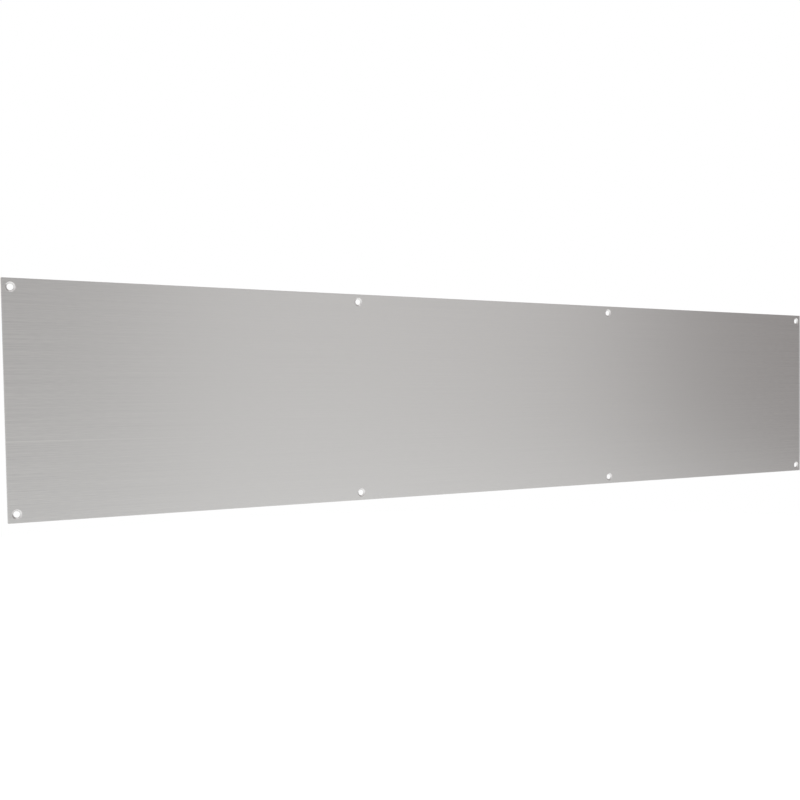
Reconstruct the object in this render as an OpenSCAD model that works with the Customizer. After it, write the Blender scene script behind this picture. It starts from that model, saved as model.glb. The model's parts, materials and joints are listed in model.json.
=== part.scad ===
// Kick plate: one flat sheet of brushed stainless steel, screwed across the foot of a door
// so that shoes, trolleys and cleaning machines meet steel and not paint.
//
// The plate stands in the XZ plane: X runs along its length and Z is up.
// Its back face lies on y = 0, against the door, and its brushed face looks toward -Y.
// The origin is at the middle of the back face. All sizes are in millimetres.

/* [Sheet] */
// Length of the plate, across the door
plate_length = 750; // [300:1:1200]
// Height of the plate, up the door
plate_height = 150; // [80:1:400]
// Thickness of the steel sheet
sheet_thickness = 1.2; // [0.8:0.1:2]
// Width of the bevel that deburring leaves along every outer edge
edge_bevel = 0.2; // [0.05:0.05:0.3]

/* [Screw holes] */
// Number of holes along each long edge, the two corner holes included
holes_per_row = 4; // [2:1:8]
// Distance from the hole centres to the nearest edges
hole_inset = 5.5; // [5.5:0.5:20]
// Diameter of the straight part of the hole, which clears the screw's shank
hole_diameter = 4; // [3:0.1:5]
// Full angle of the countersink, the same as under the screw's head
countersink_angle = 90; // [82:1:100]
// Depth of the straight part that is left behind the countersink
straight_depth = 0.15; // [0.1:0.05:0.5]

/* [Hidden] */

$fn = 96;
// How far a cutter reaches past the face that it cuts
cutter_overrun = 1;

countersink_slope = tan(countersink_angle / 2);
countersink_depth = sheet_thickness - straight_depth;
// Distance between neighbouring holes in a row, and between the two rows
hole_spacing = (plate_length - 2 * hole_inset) / (holes_per_row - 1);
row_spacing = plate_height - 2 * hole_inset;

// Cross-section of a flat bar with all four edges bevelled, centred on the X axis of its own plane.
// It is as wide as width, and its thickness runs from y = -sheet_thickness to y = 0.
module bevelled_section(width) {
    half = width / 2;
    polygon([
        [-half, -edge_bevel],
        [-half + edge_bevel, 0],
        [half - edge_bevel, 0],
        [half, -edge_bevel],
        [half, -sheet_thickness + edge_bevel],
        [half - edge_bevel, -sheet_thickness],
        [-half + edge_bevel, -sheet_thickness],
        [-half, -sheet_thickness + edge_bevel]
    ]);
}

// The blank as sheared: one bar section sets the length and its bevels, the other the height.
module blank() {
    intersection() {
        linear_extrude(plate_height, center = true)
            bevelled_section(plate_length);
        rotate([0, 90, 0])
            linear_extrude(plate_length, center = true)
                bevelled_section(plate_height);
    }
}

// Drill and countersink in one cutter, with its axis along Y through the origin.
// The straight part is open at the back face, and the cone opens toward the front face.
module screw_hole_cutter() {
    rotate([90, 0, 0]) {
        translate([0, 0, -cutter_overrun])
            cylinder(h = sheet_thickness + 2 * cutter_overrun, d = hole_diameter);
        translate([0, 0, straight_depth])
            cylinder(
                h = countersink_depth + cutter_overrun,
                d1 = hole_diameter,
                d2 = hole_diameter + 2 * countersink_slope * (countersink_depth + cutter_overrun)
            );
    }
}

// The finished plate: two rows of evenly spaced countersunk holes, one along each long edge.
module plate() {
    color("#b9b6b4")
        difference() {
            blank();
            for (column = [0 : holes_per_row - 1], row = [-1, 1])
                translate([
                    -plate_length / 2 + hole_inset + column * hole_spacing,
                    0,
                    row * row_spacing / 2
                ])
                    screw_hole_cutter();
        }
}

plate();
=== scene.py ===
import json
import math

import bpy
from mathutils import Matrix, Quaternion, Vector


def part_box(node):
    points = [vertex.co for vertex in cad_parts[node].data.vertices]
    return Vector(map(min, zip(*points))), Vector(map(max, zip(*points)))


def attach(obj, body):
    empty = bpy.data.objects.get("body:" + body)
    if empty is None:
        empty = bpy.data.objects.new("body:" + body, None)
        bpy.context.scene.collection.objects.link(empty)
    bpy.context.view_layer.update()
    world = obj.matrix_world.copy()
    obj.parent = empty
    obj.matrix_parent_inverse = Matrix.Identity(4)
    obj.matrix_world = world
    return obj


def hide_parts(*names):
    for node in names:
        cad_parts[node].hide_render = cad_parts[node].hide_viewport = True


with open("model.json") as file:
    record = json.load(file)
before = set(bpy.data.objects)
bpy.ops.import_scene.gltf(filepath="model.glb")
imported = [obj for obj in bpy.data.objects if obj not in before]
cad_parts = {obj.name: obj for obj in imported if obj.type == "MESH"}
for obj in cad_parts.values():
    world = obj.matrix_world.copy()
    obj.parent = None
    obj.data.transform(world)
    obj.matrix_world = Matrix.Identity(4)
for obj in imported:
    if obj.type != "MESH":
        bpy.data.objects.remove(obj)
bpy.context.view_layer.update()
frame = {"record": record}

# ---------------------------------------------------------------------------------------------------
# Blank
# One piece of 1.2 mm stainless sheet, cut square on a guillotine. Its edges are then deburred with
# a hand file and an abrasive wheel, which rounds them and takes the points off the four corners.
# ---------------------------------------------------------------------------------------------------
mm = 0.001
low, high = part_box("plate")
length, thickness, height = high - low
corner_radius, corner_steps = 0.5 * mm, 6
edge_radius, edge_steps = 0.2 * mm, 4

bpy.ops.object.select_all(action="DESELECT")
bpy.ops.mesh.primitive_cube_add(size=1, location=(low + high) / 2, scale=(length, thickness, height))
plate = bpy.context.object
plate.name = "brushed_plate"
plate.data.name = "brushed_plate"
bpy.ops.object.transform_apply(location=True, rotation=True, scale=True)


def select_edges(piece, wanted):
    """In edit mode, selects only the edges of piece whose two ends pass the test wanted(a, b)."""
    bpy.ops.mesh.select_mode(type="EDGE")
    bpy.ops.mesh.select_all(action="DESELECT")
    bpy.ops.object.mode_set(mode="OBJECT")
    points = piece.data.vertices
    for edge in piece.data.edges:
        a, b = (points[i].co for i in edge.vertices)
        edge.select = wanted(a, b)
    bpy.ops.object.mode_set(mode="EDIT")


bpy.ops.object.mode_set(mode="EDIT")
select_edges(plate, lambda a, b: abs(a.y - b.y) > thickness / 2)
bpy.ops.mesh.bevel(offset=corner_radius, segments=corner_steps, affect="EDGES")
select_edges(plate, lambda a, b: abs(a.y - b.y) < thickness / 2)
bpy.ops.mesh.bevel(offset=edge_radius, segments=edge_steps, affect="EDGES")
bpy.ops.object.mode_set(mode="OBJECT")

# ---------------------------------------------------------------------------------------------------
# Screw holes
# Each hole is punched through and then countersunk from the front at 90 degrees, to seat the head
# of a 3.5 mm screw. One turned cutter is modelled and copied to all eight places.
# ---------------------------------------------------------------------------------------------------
patterns = [m["dims"] for m in frame["record"]["mounts"] if m["kind"] == "bolt_pattern"]
hole_radius = patterns[0]["hole_r_mm"] * mm
straight_depth = 0.15 * mm
rim_radius = hole_radius + (thickness - straight_depth)    # a 90 degree cone widens as it deepens
rim_break = 0.05 * mm
circle_segments = 96

hole_places = []
for pattern in patterns:
    half_x = pattern["spacing_x_mm"] * mm / 2
    half_z = pattern["spacing_y_mm"] * mm / 2
    hole_places += [(x, z) for x in (-half_x, half_x) for z in (-half_z, half_z)]

# Each ring of the cutter is (distance in front of the back face, radius). From just behind the
# sheet to just in front of it they make an edge break, the straight wall, the countersink and
# another edge break.
cutter_rings = [
    (-rim_break, hole_radius + 2 * rim_break),
    (rim_break, hole_radius),
    (straight_depth, hole_radius),
    (thickness - rim_break, rim_radius - rim_break),
    (thickness + rim_break, rim_radius + 3 * rim_break),
]
depth_now, radius_now = cutter_rings[0]
bpy.ops.object.select_all(action="DESELECT")
bpy.ops.mesh.primitive_circle_add(
    vertices=circle_segments, radius=radius_now, fill_type="NGON",
    location=(0, high.y - depth_now, 0), rotation=(math.pi / 2, 0, 0),
)
cutter = bpy.context.object
bpy.ops.object.transform_apply(location=True, rotation=True, scale=True)
bpy.ops.object.mode_set(mode="EDIT")
bpy.ops.mesh.select_all(action="SELECT")
for depth, radius in cutter_rings[1:]:
    bpy.ops.mesh.extrude_region_move(TRANSFORM_OT_translate={"value": (0, depth_now - depth, 0)})
    grow = radius / radius_now
    bpy.ops.transform.resize(value=(grow, 1, grow), center_override=(0, high.y - depth, 0))
    depth_now, radius_now = depth, radius
bpy.ops.mesh.select_all(action="SELECT")
bpy.ops.mesh.normals_make_consistent(inside=False)
bpy.ops.object.mode_set(mode="OBJECT")

cutters = []
for x, z in hole_places:
    copy = cutter.copy()
    copy.data = cutter.data.copy()
    bpy.context.scene.collection.objects.link(copy)
    copy.location = (x, 0, z)
    cutters.append(copy)
bpy.data.objects.remove(cutter)
bpy.ops.object.select_all(action="DESELECT")
for copy in cutters:
    copy.select_set(True)
bpy.context.view_layer.objects.active = cutters[0]
bpy.ops.object.join()
drill = bpy.context.object
bpy.ops.object.transform_apply(location=True, rotation=True, scale=True)

bpy.ops.object.select_all(action="DESELECT")
plate.select_set(True)
bpy.context.view_layer.objects.active = plate
cut = plate.modifiers.new("screw_holes", "BOOLEAN")
cut.operation = "DIFFERENCE"
cut.solver = "EXACT"
cut.object = drill
bpy.ops.object.modifier_apply(modifier=cut.name)
bpy.data.objects.remove(drill)


def select_faces(piece, wanted):
    """In edit mode, selects only the faces of piece that pass the test wanted(centre, normal)."""
    bpy.ops.mesh.select_mode(type="FACE")
    bpy.ops.mesh.select_all(action="DESELECT")
    bpy.ops.object.mode_set(mode="OBJECT")
    for face in piece.data.polygons:
        face.select = wanted(face.center, face.normal)
    bpy.ops.object.mode_set(mode="EDIT")


flat_enough = 0.999
sharp_angle = math.radians(35)


def in_a_flat(centre, normal):
    """True on the two big flat faces, which are shaded flat so that they stay plane."""
    return abs(normal.y) > flat_enough


bpy.ops.object.shade_smooth_by_angle(angle=sharp_angle)
bpy.ops.object.mode_set(mode="EDIT")
select_faces(plate, in_a_flat)
bpy.ops.mesh.faces_shade_flat()
bpy.ops.object.mode_set(mode="OBJECT")

# ---------------------------------------------------------------------------------------------------
# Brushed face
# Stainless steel, 304 grade, ground along the rolling direction with a 180 grit belt to the finish
# that the trade calls No. 4. The fine grooves run along X and spread each highlight up and down.
# ---------------------------------------------------------------------------------------------------
def colour(hex_text):
    """An sRGB hex colour as the linear RGBA that a socket takes."""
    parts = [int(hex_text[i:i + 2], 16) / 255 for i in (1, 3, 5)]
    linear = [c / 12.92 if c <= 0.04045 else ((c + 0.055) / 1.055) ** 2.4 for c in parts]
    return (*linear, 1)


def add_node(tree, kind, settings, links):
    """Adds a node. Lower-case settings are its properties, the others are values of its sockets by
    name or number, and links says which output feeds which socket."""
    node = tree.nodes.new(kind)
    for key, value in settings.items():
        if isinstance(key, str) and key.islower():
            setattr(node, key, value)
        else:
            node.inputs[key].default_value = value
    for key, source in links.items():
        tree.links.new(source, node.inputs[key])
    return node


def give_finish(piece, material, wanted):
    """Puts material on those faces of piece that pass the test wanted(centre, normal)."""
    piece.data.materials.append(material)
    piece.active_material_index = len(piece.data.materials) - 1
    bpy.ops.object.mode_set(mode="EDIT")
    select_faces(piece, wanted)
    bpy.ops.object.material_slot_assign()
    bpy.ops.object.mode_set(mode="OBJECT")


# The grit leaves grooves 0.1 to 0.2 mm wide. They are drawn 0.5 mm wide, which is as fine as still
# shows. Most are scratches of 8 mm, some carry on for 110 mm, and faint bands run along with them.
groove_width = 0.5 * mm
short_groove = 8 * mm
long_groove = 110 * mm
band_width = 5 * mm
band_length = 400 * mm
band_strength = 0.1
groove_relief = 0.002 * mm
groove_dark, groove_light = "#c3c3c2", "#d2d2d0"
groove_rough, groove_smooth = 0.378, 0.342
usual_mark = 0.5             # the marks lie between minus and plus this, apart from the brighter line
spread_up_and_down = 0.6     # how much more the grooves blur a highlight across them than along them
long_shift, band_shift = (7, 0, 31), (3, 0, 11)    # these keep the three patterns from lining up

brushed = bpy.data.materials.new("stainless_304_brushed_no4")
brushed.use_nodes = True
tree = brushed.node_tree
steel = tree.nodes["Principled BSDF"]
steel.inputs["Metallic"].default_value = 1
steel.inputs["Anisotropic"].default_value = spread_up_and_down
place = add_node(tree, "ShaderNodeTexCoord", {}, {})
short_place = add_node(
    tree, "ShaderNodeMapping",
    {"Scale": (1 / short_groove, 0, 1 / groove_width)}, {"Vector": place.outputs["Object"]},
)
short = add_node(
    tree, "ShaderNodeTexNoise", {"Scale": 1, "Detail": 1}, {"Vector": short_place.outputs["Vector"]}
)
long_place = add_node(
    tree, "ShaderNodeMapping",
    {"Location": long_shift, "Scale": (1 / long_groove, 0, 1 / groove_width)},
    {"Vector": place.outputs["Object"]},
)
long = add_node(
    tree, "ShaderNodeTexNoise", {"Scale": 1, "Detail": 0}, {"Vector": long_place.outputs["Vector"]}
)
band_place = add_node(
    tree, "ShaderNodeMapping",
    {"Location": band_shift, "Scale": (1 / band_length, 0, 1 / band_width)},
    {"Vector": place.outputs["Object"]},
)
band = add_node(
    tree, "ShaderNodeTexNoise", {"Scale": 1, "Detail": 0}, {"Vector": band_place.outputs["Vector"]}
)
grooves = add_node(
    tree, "ShaderNodeMath", {"operation": "ADD"}, {0: short.outputs["Fac"], 1: long.outputs["Fac"]}
)
faint_band = add_node(
    tree, "ShaderNodeMapRange", {"To Min": -band_strength, "To Max": band_strength},
    {"Value": band.outputs["Fac"]},
)
grain = add_node(
    tree, "ShaderNodeMath", {"operation": "ADD"},
    {0: grooves.outputs["Value"], 1: faint_band.outputs["Result"]},
)

# The lines show most toward the two ends of the sheet, and are fainter between them.
even_reach = 260 * mm
deep_reach = 360 * mm
even_bite = 0.25

axes = add_node(tree, "ShaderNodeSeparateXYZ", {}, {"Vector": place.outputs["Object"]})
from_middle = add_node(tree, "ShaderNodeMath", {"operation": "ABSOLUTE"}, {0: axes.outputs["X"]})
bite = add_node(
    tree, "ShaderNodeMapRange",
    {"From Min": even_reach, "From Max": deep_reach, "To Min": even_bite, "To Max": 1},
    {"Value": from_middle.outputs["Value"]},
)
uneven = add_node(
    tree, "ShaderNodeMath", {"operation": "SUBTRACT", 1: 1}, {0: grain.outputs["Value"]}
)
bitten = add_node(
    tree, "ShaderNodeMath", {"operation": "MULTIPLY"},
    {0: uneven.outputs["Value"], 1: bite.outputs["Result"]},
)

# A single brighter line runs in from the left-hand end, a third of the way up the sheet.
stray_height = low.z + height / 3
stray_width = 0.6 * mm
stray_strength = 0.8
stray_start, stray_end = low.x, low.x + length / 5

above = add_node(
    tree, "ShaderNodeMath", {"operation": "SUBTRACT", 1: stray_height}, {0: axes.outputs["Z"]}
)
apart = add_node(tree, "ShaderNodeMath", {"operation": "ABSOLUTE"}, {0: above.outputs["Value"]})
on_line = add_node(
    tree, "ShaderNodeMapRange",
    {"From Min": 0, "From Max": stray_width, "To Min": 1, "To Max": 0},
    {"Value": apart.outputs["Value"]},
)
along_line = add_node(
    tree, "ShaderNodeMapRange",
    {"From Min": stray_start, "From Max": stray_end, "To Min": stray_strength, "To Max": 0},
    {"Value": axes.outputs["X"]},
)
stray = add_node(
    tree, "ShaderNodeMath", {"operation": "MULTIPLY"},
    {0: on_line.outputs["Result"], 1: along_line.outputs["Result"]},
)
marks = add_node(
    tree, "ShaderNodeMath", {"operation": "ADD"},
    {0: bitten.outputs["Value"], 1: stray.outputs["Value"]},
)

tone = add_node(
    tree, "ShaderNodeMapRange", {"clamp": False, "From Min": -usual_mark, "From Max": usual_mark},
    {"Value": marks.outputs["Value"]},
)
groove_colour = add_node(
    tree, "ShaderNodeMix",
    {"data_type": "RGBA", "clamp_factor": False, 6: colour(groove_dark), 7: colour(groove_light)},
    {0: tone.outputs["Result"]},
)
groove_gloss = add_node(
    tree, "ShaderNodeMapRange",
    {"From Min": -usual_mark, "From Max": usual_mark, "To Min": groove_rough, "To Max": groove_smooth},
    {"Value": marks.outputs["Value"]},
)
relief = add_node(
    tree, "ShaderNodeBump", {"Strength": 1, "Distance": groove_relief},
    {"Height": marks.outputs["Value"]},
)
across_grain = add_node(tree, "ShaderNodeTangent", {"direction_type": "RADIAL", "axis": "X"}, {})
tree.links.new(groove_colour.outputs[2], steel.inputs["Base Color"])
tree.links.new(groove_gloss.outputs["Result"], steel.inputs["Roughness"])
tree.links.new(relief.outputs["Normal"], steel.inputs["Normal"])
tree.links.new(across_grain.outputs["Tangent"], steel.inputs["Tangent"])

give_finish(plate, brushed, lambda centre, normal: normal.y < -flat_enough)

# ---------------------------------------------------------------------------------------------------
# Back face
# The same steel as it left the rolling mill, cold rolled, pickled and skin passed: finish 2B. It is
# smooth and milky, with a faint mottle from the pickling and faint lines along the rolling.
# ---------------------------------------------------------------------------------------------------
mottle_size = 6 * mm
roll_width = 3 * mm
roll_length = 300 * mm
mill_dark, mill_light = "#b3b1ae", "#c6c4c1"
mill_smooth, mill_rough = 0.34, 0.46
cloud_low, cloud_high = 0.5, 1.5    # the two patterns are added, and are seldom outside these

mill = bpy.data.materials.new("stainless_304_mill_2b")
mill.use_nodes = True
tree = mill.node_tree
steel = tree.nodes["Principled BSDF"]
steel.inputs["Metallic"].default_value = 1
place = add_node(tree, "ShaderNodeTexCoord", {}, {})
mottle_place = add_node(
    tree, "ShaderNodeMapping",
    {"Scale": (1 / mottle_size, 0, 1 / mottle_size)}, {"Vector": place.outputs["Object"]},
)
mottle = add_node(
    tree, "ShaderNodeTexNoise", {"Scale": 1, "Detail": 4}, {"Vector": mottle_place.outputs["Vector"]}
)
roll_place = add_node(
    tree, "ShaderNodeMapping",
    {"Scale": (1 / roll_length, 0, 1 / roll_width)}, {"Vector": place.outputs["Object"]},
)
roll = add_node(
    tree, "ShaderNodeTexNoise", {"Scale": 1, "Detail": 2}, {"Vector": roll_place.outputs["Vector"]}
)
cloud = add_node(
    tree, "ShaderNodeMath", {"operation": "ADD"}, {0: mottle.outputs["Fac"], 1: roll.outputs["Fac"]}
)
tone = add_node(
    tree, "ShaderNodeMapRange", {"From Min": cloud_low, "From Max": cloud_high},
    {"Value": cloud.outputs["Value"]},
)
mill_colour = add_node(
    tree, "ShaderNodeMix",
    {"data_type": "RGBA", 6: colour(mill_dark), 7: colour(mill_light)}, {0: tone.outputs["Result"]},
)
mill_gloss = add_node(
    tree, "ShaderNodeMapRange",
    {"From Min": cloud_low, "From Max": cloud_high, "To Min": mill_smooth, "To Max": mill_rough},
    {"Value": cloud.outputs["Value"]},
)
tree.links.new(mill_colour.outputs[2], steel.inputs["Base Color"])
tree.links.new(mill_gloss.outputs["Result"], steel.inputs["Roughness"])

give_finish(plate, mill, lambda centre, normal: normal.y > flat_enough)

# ---------------------------------------------------------------------------------------------------
# Cut edges
# The guillotine leaves a bright burnished strip next to the front and a duller torn strip behind
# it, both with drag lines across the thickness. The wheel then blurs them and rounds the arrises.
# ---------------------------------------------------------------------------------------------------
drag_width = 0.4 * mm
drag_length = 8 * drag_width
burnished_depth = thickness / 3
torn_blur = 0.1 * mm
torn_wear = 0.35
wear_low, wear_high = 0.3, 1.05
fresh_cut, worn_cut = "#d2d1d0", "#aeadab"
fresh_roughness, worn_roughness = 0.26, 0.48

cut_edge = bpy.data.materials.new("stainless_304_sheared_deburred")
cut_edge.use_nodes = True
tree = cut_edge.node_tree
steel = tree.nodes["Principled BSDF"]
steel.inputs["Metallic"].default_value = 1
place = add_node(tree, "ShaderNodeTexCoord", {}, {})
drag_place = add_node(
    tree, "ShaderNodeMapping",
    {"Scale": (1 / drag_width, 1 / drag_length, 1 / drag_width)},
    {"Vector": place.outputs["Object"]},
)
drag = add_node(
    tree, "ShaderNodeTexNoise", {"Scale": 1, "Detail": 2}, {"Vector": drag_place.outputs["Vector"]}
)
axes = add_node(tree, "ShaderNodeSeparateXYZ", {}, {"Vector": place.outputs["Object"]})
torn = add_node(
    tree, "ShaderNodeMapRange",
    {"From Min": low.y + burnished_depth - torn_blur, "From Max": low.y + burnished_depth + torn_blur,
     "To Min": 0, "To Max": torn_wear},
    {"Value": axes.outputs["Y"]},
)
wear = add_node(
    tree, "ShaderNodeMath", {"operation": "ADD"}, {0: drag.outputs["Fac"], 1: torn.outputs["Result"]}
)
edge_tone = add_node(
    tree, "ShaderNodeMapRange", {"From Min": wear_low, "From Max": wear_high},
    {"Value": wear.outputs["Value"]},
)
edge_colour = add_node(
    tree, "ShaderNodeMix",
    {"data_type": "RGBA", 6: colour(fresh_cut), 7: colour(worn_cut)},
    {0: edge_tone.outputs["Result"]},
)
edge_gloss = add_node(
    tree, "ShaderNodeMapRange",
    {"From Min": wear_low, "From Max": wear_high, "To Min": fresh_roughness, "To Max": worn_roughness},
    {"Value": wear.outputs["Value"]},
)
tree.links.new(edge_colour.outputs[2], steel.inputs["Base Color"])
tree.links.new(edge_gloss.outputs["Result"], steel.inputs["Roughness"])


def in_a_hole(centre):
    """True for a point inside or on the rim of one of the screw holes."""
    reach = rim_radius + 4 * rim_break
    return any(math.hypot(centre.x - x, centre.z - z) < reach for x, z in hole_places)


give_finish(
    plate, cut_edge,
    lambda centre, normal: not in_a_flat(centre, normal) and not in_a_hole(centre),
)

# ---------------------------------------------------------------------------------------------------
# Countersinks
# Bare steel that a rotary cutter has just left: brighter and smoother than the brushed face, with
# fine rings round each hole. The rings are 0.1 mm apart on the real cone and are drawn at 0.25 mm.
# ---------------------------------------------------------------------------------------------------
ring_pitch = 0.25 * mm
ring_dark, ring_light = "#cfcecd", "#e6e5e4"
ring_rough, ring_smooth = 0.34, 0.18
hole_pitch = min(pattern["spacing_x_mm"] for pattern in patterns) * mm
row_height = patterns[0]["spacing_y_mm"] * mm / 2

turned = bpy.data.materials.new("stainless_304_turned_countersink")
turned.use_nodes = True
tree = turned.node_tree
steel = tree.nodes["Principled BSDF"]
steel.inputs["Metallic"].default_value = 1
place = add_node(tree, "ShaderNodeTexCoord", {}, {})
axes = add_node(tree, "ShaderNodeSeparateXYZ", {}, {"Vector": place.outputs["Object"]})
# The holes are evenly spaced, so one measure that repeats along X and is folded over Z serves them all.
in_pitch = add_node(
    tree, "ShaderNodeMath", {"operation": "FLOORED_MODULO", 1: hole_pitch}, {0: axes.outputs["X"]}
)
from_hole = add_node(
    tree, "ShaderNodeMath", {"operation": "SUBTRACT", 1: hole_pitch / 2},
    {0: in_pitch.outputs["Value"]},
)
either_row = add_node(tree, "ShaderNodeMath", {"operation": "ABSOLUTE"}, {0: axes.outputs["Z"]})
from_row = add_node(
    tree, "ShaderNodeMath", {"operation": "SUBTRACT", 1: row_height},
    {0: either_row.outputs["Value"]},
)
offset = add_node(
    tree, "ShaderNodeCombineXYZ", {}, {"X": from_hole.outputs["Value"], "Z": from_row.outputs["Value"]}
)
radius_out = add_node(
    tree, "ShaderNodeVectorMath", {"operation": "LENGTH"}, {0: offset.outputs["Vector"]}
)
ring_place = add_node(
    tree, "ShaderNodeMath", {"operation": "DIVIDE", 1: ring_pitch}, {0: radius_out.outputs["Value"]}
)
rings = add_node(
    tree, "ShaderNodeTexNoise", {"noise_dimensions": "1D", "Scale": 1, "Detail": 1},
    {"W": ring_place.outputs["Value"]},
)
ring_colour = add_node(
    tree, "ShaderNodeMix",
    {"data_type": "RGBA", 6: colour(ring_dark), 7: colour(ring_light)}, {0: rings.outputs["Fac"]},
)
ring_gloss = add_node(
    tree, "ShaderNodeMapRange", {"To Min": ring_rough, "To Max": ring_smooth},
    {"Value": rings.outputs["Fac"]},
)
tree.links.new(ring_colour.outputs[2], steel.inputs["Base Color"])
tree.links.new(ring_gloss.outputs["Result"], steel.inputs["Roughness"])

give_finish(
    plate, turned,
    lambda centre, normal: not in_a_flat(centre, normal) and in_a_hole(centre),
)

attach(plate, "root")
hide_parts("plate")

# ---------------------------------------------------------------------------------------------------
# Light table and lamps
# A round light table of white acrylic lies just under the plate and is the floor of the studio. One
# softbox hangs overhead and one stands in front to the right. The room is white, and falls away to
# a warm grey at its right-hand end, where no lamp reaches.
# ---------------------------------------------------------------------------------------------------
table_drop = 90 * mm
table_radius = 780 * mm
table_steps = 96
table_glow = 1.1

bpy.ops.object.select_all(action="DESELECT")
bpy.ops.mesh.primitive_circle_add(
    vertices=table_steps, radius=table_radius, fill_type="NGON", location=(0, 0, low.z - table_drop)
)
light_table = bpy.context.object
light_table.name = "light_table"
acrylic = bpy.data.materials.new("white_acrylic_lit_from_below")
acrylic.use_nodes = True
sheet = acrylic.node_tree.nodes["Principled BSDF"]
sheet.inputs["Base Color"].default_value = colour("#202020")
sheet.inputs["Specular IOR Level"].default_value = 0
sheet.inputs["Roughness"].default_value = 0.6
sheet.inputs["Emission Color"].default_value = colour("#ffffff")
sheet.inputs["Emission Strength"].default_value = table_glow
light_table.data.materials.append(acrylic)


def direction(turn, rise):
    """The unit vector that points turn degrees round from the front and rise degrees up."""
    a, e = math.radians(turn), math.radians(rise)
    return Vector((math.sin(a) * math.cos(e), -math.cos(a) * math.cos(e), math.sin(e)))


def softbox(name, place, width, height, glow):
    """A flat lamp of width x height at place, turned toward the plate, as bright as glow all over."""
    lamp = bpy.data.lights.new(name, "AREA")
    lamp.shape = "RECTANGLE"
    lamp.size, lamp.size_y = width, height
    lamp.energy = math.pi * width * height * glow
    box = bpy.data.objects.new(name, lamp)
    bpy.context.scene.collection.objects.link(box)
    box.location = place
    box.rotation_mode = "QUATERNION"
    box.rotation_quaternion = (-place).to_track_quat("-Z", "Y")
    box.visible_camera = False


front_distance, overhead_distance = 2, 1.5
front_place = direction(31, 14) * front_distance
softbox("front_softbox", front_place, width=1.3, height=1.5, glow=0.465)
softbox("overhead_softbox", Vector((0, 0, overhead_distance)), width=1.5, height=1.5, glow=0.5)

room_white, room_grey = "#ffffff", "#aca7a7"
dark_end = direction(88, 11)
white_until, grey_from = -0.885, 0.696    # cosines of the angles from the dark end

world = bpy.data.worlds.new("white_studio")
world.use_nodes = True
bpy.context.scene.world = world
tree = world.node_tree
way = add_node(tree, "ShaderNodeTexCoord", {}, {})
toward_dark = add_node(
    tree, "ShaderNodeVectorMath", {"operation": "DOT_PRODUCT", 1: dark_end},
    {0: way.outputs["Generated"]},
)
falling = add_node(
    tree, "ShaderNodeMapRange", {"From Min": white_until, "From Max": grey_from},
    {"Value": toward_dark.outputs["Value"]},
)
room = add_node(
    tree, "ShaderNodeMix",
    {"data_type": "RGBA", 6: colour(room_white), 7: colour(room_grey)},
    {0: falling.outputs["Result"]},
)
ray = add_node(tree, "ShaderNodeLightPath", {}, {})
backdrop = add_node(
    tree, "ShaderNodeMix", {"data_type": "RGBA", 7: colour(room_white)},
    {0: ray.outputs["Is Camera Ray"], 6: room.outputs[2]},
)
tree.links.new(backdrop.outputs[2], tree.nodes["Background"].inputs["Color"])

# ---------------------------------------------------------------------------------------------------
# Camera
# It stands level with the plate, out beyond the left-hand end and turned to the right, so that the
# left end is nearest. The plate just fills the width of the square frame.
# ---------------------------------------------------------------------------------------------------
camera_place = Vector((-0.5427, -0.7023, -0.0066))
camera_turn = math.radians(32.9)
camera_dip = math.radians(2.41)
camera_roll = math.radians(-0.86)

lens = bpy.data.cameras.new("studio_camera")
lens.sensor_width = 36
lens.lens = 50.24
lens.shift_y = 0.0663
camera = bpy.data.objects.new("studio_camera", lens)
bpy.context.scene.collection.objects.link(camera)
bpy.context.scene.camera = camera

looking = Vector((
    math.sin(camera_turn) * math.cos(camera_dip),
    math.cos(camera_turn) * math.cos(camera_dip),
    -math.sin(camera_dip),
))
upright = looking.to_track_quat("-Z", "Y")
camera.location = camera_place
camera.rotation_mode = "QUATERNION"
camera.rotation_quaternion = upright @ Quaternion((0, 0, 1), camera_roll)

bpy.context.scene.view_settings.view_transform = "Standard"
bpy.context.scene.view_settings.look = "None"
